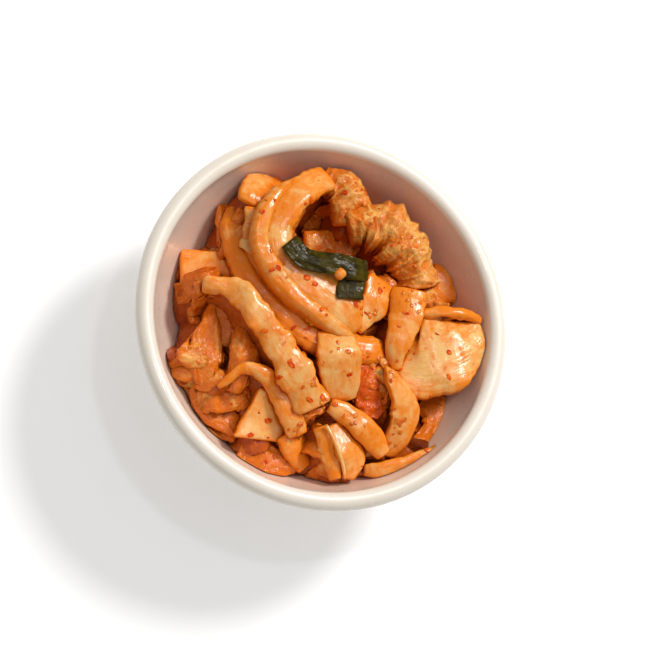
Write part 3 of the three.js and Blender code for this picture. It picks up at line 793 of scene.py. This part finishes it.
def swept_piece(
        path, thick, seed, arch=0.0, roll=0.0, twist=0.0, lean=0.0, ruffle=0.2, waves=0.06, crumple=0.0,
        grain=(1.0, 1.0), grooves=0.0, square=5.5, spacing=0.38, around=52, lump=0.08, round_end=0.4):
    """Points, faces and places of a piece: a rounded section swept along its path.

    lean thins one side and thickens the other, twist turns the section from end to end,
    grain stretches the folds along or across, grooves sinks lines along the upper face,
    and round_end is how far an end's edge is rounded.
    """
    line, along = even_line(path, spacing)
    centre = line[:, :3]
    width = np.maximum(line[:, 3], 0.8)
    side, normal = section_directions(centre, along, roll, twist)
    from_end = np.minimum(along, along[-1] - along)
    close = np.sqrt(np.clip(1 - (1 - np.clip(from_end / round_end, 0, 1)) ** 2, 0.25, 1))
    turn = 2 * math.pi * (np.arange(around) + 0.5) / around
    cos, sin = np.cos(turn), np.sin(turn)
    u = np.sign(cos) * np.abs(cos) ** (2 / square)
    v = np.sign(sin) * np.abs(sin) ** (2 / square)
    rows = len(line)
    uu = np.tile(u, (rows, 1))
    vv = np.tile(v, (rows, 1))
    ss = np.tile(along[:, None], (1, around))
    edge_place = np.stack([ss.ravel(), np.sign(uu).ravel() * 9], axis=1)
    height = np.minimum(thick, 0.7 * width)[:, None] * close[:, None] * (1 + lean * uu)
    half = (width / 2 * (1 - (1 - close) * 0.12))[:, None]
    wavy = waves * lumps(edge_place, 3.4, seed).reshape(ss.shape)
    wavy += 0.5 * waves * lumps(edge_place, 1.3, seed + 1).reshape(ss.shape)
    sideways = uu * half * (1 + wavy)
    flat_place = np.stack([ss.ravel(), sideways.ravel()], axis=1)
    offset = vv * height / 2 + arch * (0.5 - uu ** 2) * close[:, None]
    offset += ruffle * np.abs(uu) ** 2 * lumps(edge_place + 40, 2.8, seed + 3).reshape(ss.shape)
    # low marks the undersides near the edges, groove bottoms and fold valleys; the material gives them more
    # sauce colour, partly as sauce gathered there and partly as painted shade.
    low = 0.35 * (1 - np.clip(vv, -1, 1)) * (np.abs(uu) > 0.8)
    if grooves:
        cut = np.clip(lumps(sideways.reshape(-1, 1), 0.9, seed + 7).reshape(ss.shape), -1, 1)
        offset += grooves * cut * np.clip(vv, 0, 1) * (1 - np.abs(uu) ** 4)
        low = low + np.clip(-cut, 0, 1) * 0.7
    offset += 0.3 * lumps(flat_place, 5.5, seed + 13).reshape(ss.shape)
    if crumple:
        folds = creases(flat_place * grain, 2.6, seed + 5).reshape(ss.shape) - 0.6
        small = creases(flat_place * grain, 1.1, seed + 6).reshape(ss.shape) - 0.6
        swell = lumps(flat_place, 5.0, seed + 9).reshape(ss.shape)
        offset += crumple * (0.9 * folds + 0.3 * small + 0.6 * swell)
        low = low + np.clip(0.3 - 1.6 * folds - 0.8 * small, 0, 1)
    sides = side[:, None, :]
    normals = normal[:, None, :]
    points = centre[:, None, :] + sides * sideways[..., None] + normals * offset[..., None]
    points = points.reshape(-1, 3)
    outward = (sides * (uu * 0.5)[..., None] + normals * vv[..., None]).reshape(-1, 3)
    points += outward * (lump * lumps(points, 2.6, seed + 11))[:, None]
    points = keep_in_bowl(points)
    edge = np.clip((np.abs(uu) - 0.82) / 0.18, 0, 1) ** 2
    edge = np.maximum(edge, (1 - np.clip(from_end / 0.9, 0, 1))[:, None])
    faces = tube_faces(rows, around)
    return points, faces, sideways.ravel(), ss.ravel(), {"edge": edge.ravel(), "low": low.ravel()}


def core_height(x, y, supports):
    """Height of the bare heap, which stays just inside each piece and slopes away beside it."""
    height = CORE_TOP - CORE_DROP * (np.hypot(x, y) / CORE_DROP_RADIUS) ** 3
    height += 0.8 * lumps(np.stack([x, y], axis=1), 7, 77)
    for px, py, pz, width, thick in supports:
        beyond = np.maximum(np.hypot(x - px, y - py) - CORE_PART_OF_WIDTH * width, 0)
        top = pz - CORE_PART_OF_THICKNESS * thick - CORE_COVER
        height = np.maximum(height, top - CORE_SLOPE * beyond)
    return height


def make_core(supports, material):
    """The bare heap as one wavy skin, with its rim tucked in along the glaze."""
    rings = int(CORE_REACH / CORE_STEP)
    sides = CORE_SIDES
    points = [(0.0, 0.0)]
    for ring in range(1, rings + 1):
        for k in range(sides):
            turn = 2 * math.pi * k / sides
            points.append((ring * CORE_STEP * math.cos(turn), ring * CORE_STEP * math.sin(turn)))
    flat = np.array(points)
    height = core_height(flat[:, 0], flat[:, 1], supports)
    height += 0.7 * (creases(flat, 3.0, 31) - 0.5)
    skin = keep_in_bowl(np.column_stack([flat, np.maximum(height, FLOOR_TOP + 0.5)]))
    floor = len(skin)
    skin = np.vstack([skin, (0, 0, FLOOR_TOP + WALL_GAP)])
    faces = []
    for k in range(sides):
        beside = (k + 1) % sides
        faces.append((0, 1 + k, 1 + beside))
        for ring in range(rings - 1):
            low = 1 + ring * sides
            high = low + sides
            faces.append((low + k, high + k, high + beside, low + beside))
        outer = 1 + (rings - 1) * sides
        faces.append((floor, outer + beside, outer + k))
    return make_object("soaked_heap", skin, faces, material, {"gap": np.zeros(len(skin))})


def ride_heap(item):
    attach(item, "root")
    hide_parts("kimchi_heap")


def make_pieces():
    """Every piece of cabbage, each with its own number for its waves and folds."""
    made = []
    supports = []
    for seed, (name, shape) in enumerate(PIECES.items(), start=1):
        leafy = shape.get("leafy", False)
        values = {key: value for key, value in shape.items() if key not in ("tint", "leafy")}
        if leafy:
            values.update(LEAF_SECTION)
        points, faces, across, along, marks = swept_piece(seed=seed * 20, **values)
        item = make_object(
            name, points, faces, LEAF_MATERIAL if leafy else STALK_MATERIAL,
            {**marks, "tint": np.full(len(points), shape.get("tint", 0.0)), "gap": np.zeros(len(points))})
        add_uv(item, across, along)
        ride_heap(item)
        made.append(item)
        if shape["thick"] < SHEET_THICKNESS:
            continue
        line = smooth_line(shape["path"], 5)
        supports += [(*row, shape["thick"]) for row in line]
    core = make_core(supports, core_material())
    ride_heap(core)
    made.append(core)
    made.append(make_buried_leaves(supports))
    return made


def make_buried_leaves(supports):
    """Scraps of leaf draped over the bare heap, one joined mesh that fills the gaps between the pieces."""
    rng = random.Random(23)
    points = []
    faces = []
    marks = {"edge": [], "low": [], "tint": []}
    across = []
    along = []
    for k in range(BURIED_LEAVES):
        radius = BURIED_REACH * math.sqrt(rng.random())
        turn = rng.uniform(0, 2 * math.pi)
        x, y = radius * math.cos(turn), radius * math.sin(turn)
        heading = rng.uniform(0, 2 * math.pi)
        length = rng.uniform(9, 17)
        bend = rng.uniform(-0.5, 0.5)
        broad = rng.uniform(4, 8.5)
        steps = []
        for share in (-0.5, -0.25, 0, 0.25, 0.5):
            px = x + length * share * math.cos(heading + bend * share)
            py = y + length * share * math.sin(heading + bend * share)
            steps.append((px, py, broad * (1 - 1.4 * share ** 2)))
        flat = np.array(steps)
        height = core_height(flat[:, 0], flat[:, 1], supports) + rng.uniform(-0.9, 0.2)
        path = [(px, py, max(float(pz), 8), width) for (px, py, width), pz in zip(steps, height)]
        part, part_faces, part_across, part_along, part_marks = swept_piece(
            path, rng.uniform(0.6, 1.2), seed=3000 + 20 * k, arch=rng.uniform(0, 0.8),
            roll=rng.uniform(-20, 20), ruffle=0.5, waves=0.12, crumple=rng.uniform(0.4, 0.8),
            grain=(0.5, 1.3), spacing=0.4, around=44)
        start = len(points)
        points += list(part)
        faces += [tuple(start + n for n in face) for face in part_faces]
        across += list(part_across)
        along += list(part_along)
        for key in ("edge", "low"):
            marks[key] += list(part_marks[key])
        marks["tint"] += [rng.uniform(0.1, 0.45)] * len(part)
    marks["gap"] = np.zeros(len(points))
    leaves = make_object("buried_leaves", points, faces, LEAF_MATERIAL, marks)
    add_uv(leaves, across, along)
    ride_heap(leaves)
    return leaves


def make_green_leaf():
    material = green_material()
    for seed, (name, shape) in enumerate(GREEN_PIECES.items(), start=900):
        points, faces, across, along, marks = swept_piece(
            seed=seed, square=2.6, spacing=0.2, around=56, lump=0.06, **shape)
        item = make_object(name, points, faces, material, marks)
        add_uv(item, across, along)
        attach(item, "root")
        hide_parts("green_onion_leaf")


def mark_gaps(items, reach=9.0, rays=10):
    """Write into each piece's gap attribute how much of the sky other pieces cover near each point."""
    tree = tree_of(items)
    rng = random.Random(5)
    fan = []
    for k in range(rays):
        turn = 2 * math.pi * (k + rng.random() * 0.5) / rays
        lift = math.sqrt((k + 0.5) / rays)
        fan.append((math.cos(turn) * lift, math.sin(turn) * lift, math.sqrt(1 - lift * lift) + 0.15))
    for item in items:
        mesh = item.data
        layer = mesh.attributes.get("gap")
        if layer is None:
            continue
        values = []
        for vertex in mesh.vertices:
            normal = vertex.normal
            side = normal.orthogonal().normalized()
            other = normal.cross(side)
            start = vertex.co + normal * 0.0002
            covered = 0.0
            for a, b, c in fan:
                hit = tree.ray_cast(start, side * a + other * b + normal * c, reach * MM)
                if hit[0] is not None:
                    covered += 1 - hit[3] / (reach * MM) * 0.6
            values.append(covered / rays)
        layer.data.foreach_set("value", np.array(values, dtype=np.float32))


def tree_of(items):
    """One search tree over all the given pieces."""
    points = []
    faces = []
    for item in items:
        start = len(points)
        points += [vertex.co.copy() for vertex in item.data.vertices]
        faces += [tuple(start + k for k in face.vertices) for face in item.data.polygons]
    return BVHTree.FromPolygons(points, faces)


# Chilli flakes that show in the photograph, as x and y on the heap
FLAKE_PLACES = [
    (-12.9, 10.6), (-11.4, 11.2), (-4.4, 9.4), (-2.4, 8.1), (-14.3, -3.6), (-0.7, 2.2), (-6.3, -1.6),
    (-3.2, -1.6), (-2.7, -18.6), (0.5, -17.9), (30.8, -5.5), (30.7, -11.5), (19.9, 3.1), (14.3, 8.5),
    (7.6, 4.1), (-14.7, -15.2), (-10.6, -22.7), (-7.7, -11.0), (-10.1, -14.0), (-14.7, -26.3),
    (6.6, -12.3), (10.2, -7.7), (-3.6, 27.8), (-5.3, 24.5), (-15.6, 24.1), (5.5, 31.4),
]
SCATTERED_FLAKES = 60
FLAKE_REACH = 35.0
LARGE_FLAKE_SIZE = (0.7, 1.0)
SMALL_FLAKE_SIZE = (0.22, 0.5)


def point_below(tree, x, y):
    """The first point on the pieces straight below a place above the bowl, and the way its face looks."""
    hit, normal, _, _ = tree.ray_cast(Vector((x, y, 60)) * MM, Vector((0, 0, -1)))
    return hit, normal


def flake_shape(rng, size):
    """Points round an uneven flat chip of chilli."""
    count = rng.randint(5, 7)
    long_way = rng.uniform(0.9, 1.6)
    rim = []
    for k in range(count):
        turn = 2 * math.pi * (k + rng.uniform(-0.25, 0.25)) / count
        reach = size * rng.uniform(0.7, 1.1)
        rim.append((reach * long_way * math.cos(turn), reach / long_way * math.sin(turn)))
    return rim


def add_flake(points, faces, rng, place, normal, size):
    side = Vector((rng.uniform(-1, 1), rng.uniform(-1, 1), 0.1)).cross(normal).normalized()
    other = normal.cross(side)
    rim = flake_shape(rng, size)
    thickness = 0.12 + 0.12 * size
    start = len(points)
    for lift, shrink in ((-0.1, 1.0), (thickness * 0.6, 1.0), (thickness, 0.6)):
        for x, y in rim:
            bend = 0.25 * x * x
            spot = place + side * (x * shrink) + other * (y * shrink) + normal * (lift - bend * 0.3)
            points.append(tuple(spot))
    count = len(rim)
    for level in range(2):
        for k in range(count):
            a = start + level * count + k
            b = start + level * count + (k + 1) % count
            faces.append((a, b, b + count, a + count))
    faces.append(tuple(start + 2 * count + k for k in range(count)))
    faces.append(tuple(start + k for k in reversed(range(count))))


def make_flakes(items):
    """Chilli flakes lying on the pieces: the ones that show and more of the same kind between them."""
    tree = tree_of(items)
    rng = random.Random(11)
    points = []
    faces = []
    places = [(x, y, rng.uniform(*LARGE_FLAKE_SIZE)) for x, y in FLAKE_PLACES]
    for _ in range(SCATTERED_FLAKES):
        radius = FLAKE_REACH * math.sqrt(rng.random())
        turn = rng.uniform(0, 2 * math.pi)
        places.append((radius * math.cos(turn), radius * math.sin(turn), rng.uniform(*SMALL_FLAKE_SIZE)))
    for x, y, size in places:
        hit, normal = point_below(tree, x, y)
        if hit is None or normal.z < 0.2:
            continue
        add_flake(points, faces, rng, hit / MM, normal, size)
    flakes = make_object("chilli_flakes", points, faces, chilli_material(), smooth=False)
    ride_heap(flakes)


SEED_SIDES = 7
SEED_SIZE = (0.3, 0.65)
SEED_STRETCH = 1.3
SEED_FLATNESS = 0.3

# Wet clusters of chilli seeds: x, y, how far they spread and how many
SEED_CLUSTERS = [
    (-2.5, -15.5, 4.2, 6), (0.5, -18.5, 2.6, 8), (3.6, -6.2, 3.6, 4), (18.8, -23.5, 3.0, 18),
    (-0.2, -23.6, 1.8, 12), (20, 18, 7.5, 34), (10, 28, 5.0, 14), (14.5, -11, 5.0, 24),
    (-4.6, -24.6, 2.0, 8), (26.5, -29.8, 3.4, 8), (8.5, -22.4, 3.2, 8), (22.4, 5.4, 3.4, 8),
    (-24, -7, 6.0, 10), (11.2, 2.6, 3.0, 6), (-12, 14, 5.0, 6),
]


def seed_ball():
    """Points and faces of a small ball: a top and a bottom point, with three rows of points between."""
    sides = SEED_SIDES
    points = [(0, 0, 1), (0, 0, -1)]
    for lift in (-0.6, 0.0, 0.6):
        for k in range(sides):
            turn = 2 * math.pi * k / sides
            points.append((math.cos(turn) * math.cos(lift), math.sin(turn) * math.cos(lift), math.sin(lift)))
    faces = []
    for k in range(sides):
        beside = (k + 1) % sides
        faces.append((0, 2 + 2 * sides + k, 2 + 2 * sides + beside))
        faces.append((1, 2 + beside, 2 + k))
        for row in (2, 2 + sides):
            faces.append((row + k, row + beside, row + sides + beside, row + sides + k))
    return points, faces


def make_seeds(items):
    """Small round seeds and drops of sauce, half sunk in the pieces they lie on."""
    tree = tree_of(items)
    rng = random.Random(31)
    ball, ball_faces = seed_ball()
    points = []
    faces = []
    for cx, cy, spread, count in SEED_CLUSTERS:
        for _ in range(count):
            x = rng.gauss(cx, spread * 0.45)
            y = rng.gauss(cy, spread * 0.45)
            hit, normal = point_below(tree, x, y)
            if hit is None or normal.z < 0.15:
                continue
            size = rng.uniform(*SEED_SIZE)
            turn = rng.uniform(0, 2 * math.pi)
            side = Vector((math.cos(turn), math.sin(turn), 0)).cross(normal).normalized()
            other = normal.cross(side)
            start = len(points)
            centre = hit / MM
            for a, b, c in ball:
                level = side * (a * size * SEED_STRETCH) + other * (b * size)
                points.append(tuple(centre + level + normal * (c * size * SEED_FLATNESS)))
            faces += [tuple(start + k for k in face) for face in ball_faces]
    seeds = make_object("chilli_seeds", points, faces, seed_material())
    ride_heap(seeds)


# Camera, light and table
def make_camera():
    back = Vector((
        math.cos(CAMERA_TURN) * math.sin(CAMERA_TILT),
        math.sin(CAMERA_TURN) * math.sin(CAMERA_TILT),
        math.cos(CAMERA_TILT),
    ))
    up = (Vector((0, 1, 0)) - back * back.y).normalized()
    right = up.cross(back)
    target = Vector((0, 0, CAMERA_TARGET_HEIGHT))
    aim = target + right * CAMERA_AIM_RIGHT + up * CAMERA_AIM_UP
    data = bpy.data.cameras.new("camera")
    data.sensor_width = 36
    data.lens = CAMERA_LENS
    data.clip_start = 0.01
    camera = bpy.data.objects.new("camera", data)
    bpy.context.scene.collection.objects.link(camera)
    camera.location = (aim + back * CAMERA_DISTANCE) * MM
    camera.rotation_euler = Matrix((right, up, back)).transposed().to_euler()
    bpy.context.scene.camera = camera


def aim_light(name, place, size, power):
    data = bpy.data.lights.new(name, "AREA")
    data.shape = "DISK"
    data.size = size
    data.energy = power
    lamp = bpy.data.objects.new(name, data)
    bpy.context.scene.collection.objects.link(lamp)
    lamp.location = place
    lamp.rotation_euler = (-Vector(place)).to_track_quat("-Z", "Y").to_euler()


def make_surroundings():
    half = TABLE_HALF
    corners = [(-half, -half, 0), (half, -half, 0), (half, half, 0), (-half, half, 0)]
    mesh = bpy.data.meshes.new("table")
    mesh.from_pydata(corners, [], [(0, 1, 2, 3)])
    mesh.materials.append(floor_material())
    table = bpy.data.objects.new("table", mesh)
    bpy.context.scene.collection.objects.link(table)
    world = bpy.data.worlds.new("room")
    bpy.context.scene.world = world
    world.use_nodes = True
    background = world.node_tree.nodes["Background"]
    background.inputs["Color"].default_value = (1, 1, 1, 1)
    background.inputs["Strength"].default_value = ROOM_BRIGHTNESS
    for name, (place, size, power) in LIGHTS.items():
        aim_light(name, place, size, power)
    bpy.context.scene.view_settings.view_transform = "Standard"
    bpy.context.scene.view_settings.look = "None"


make_camera()
make_surroundings()
make_bowl()
heap = make_pieces()
make_green_leaf()
mark_gaps(heap)
make_flakes(heap)
make_seeds(heap)
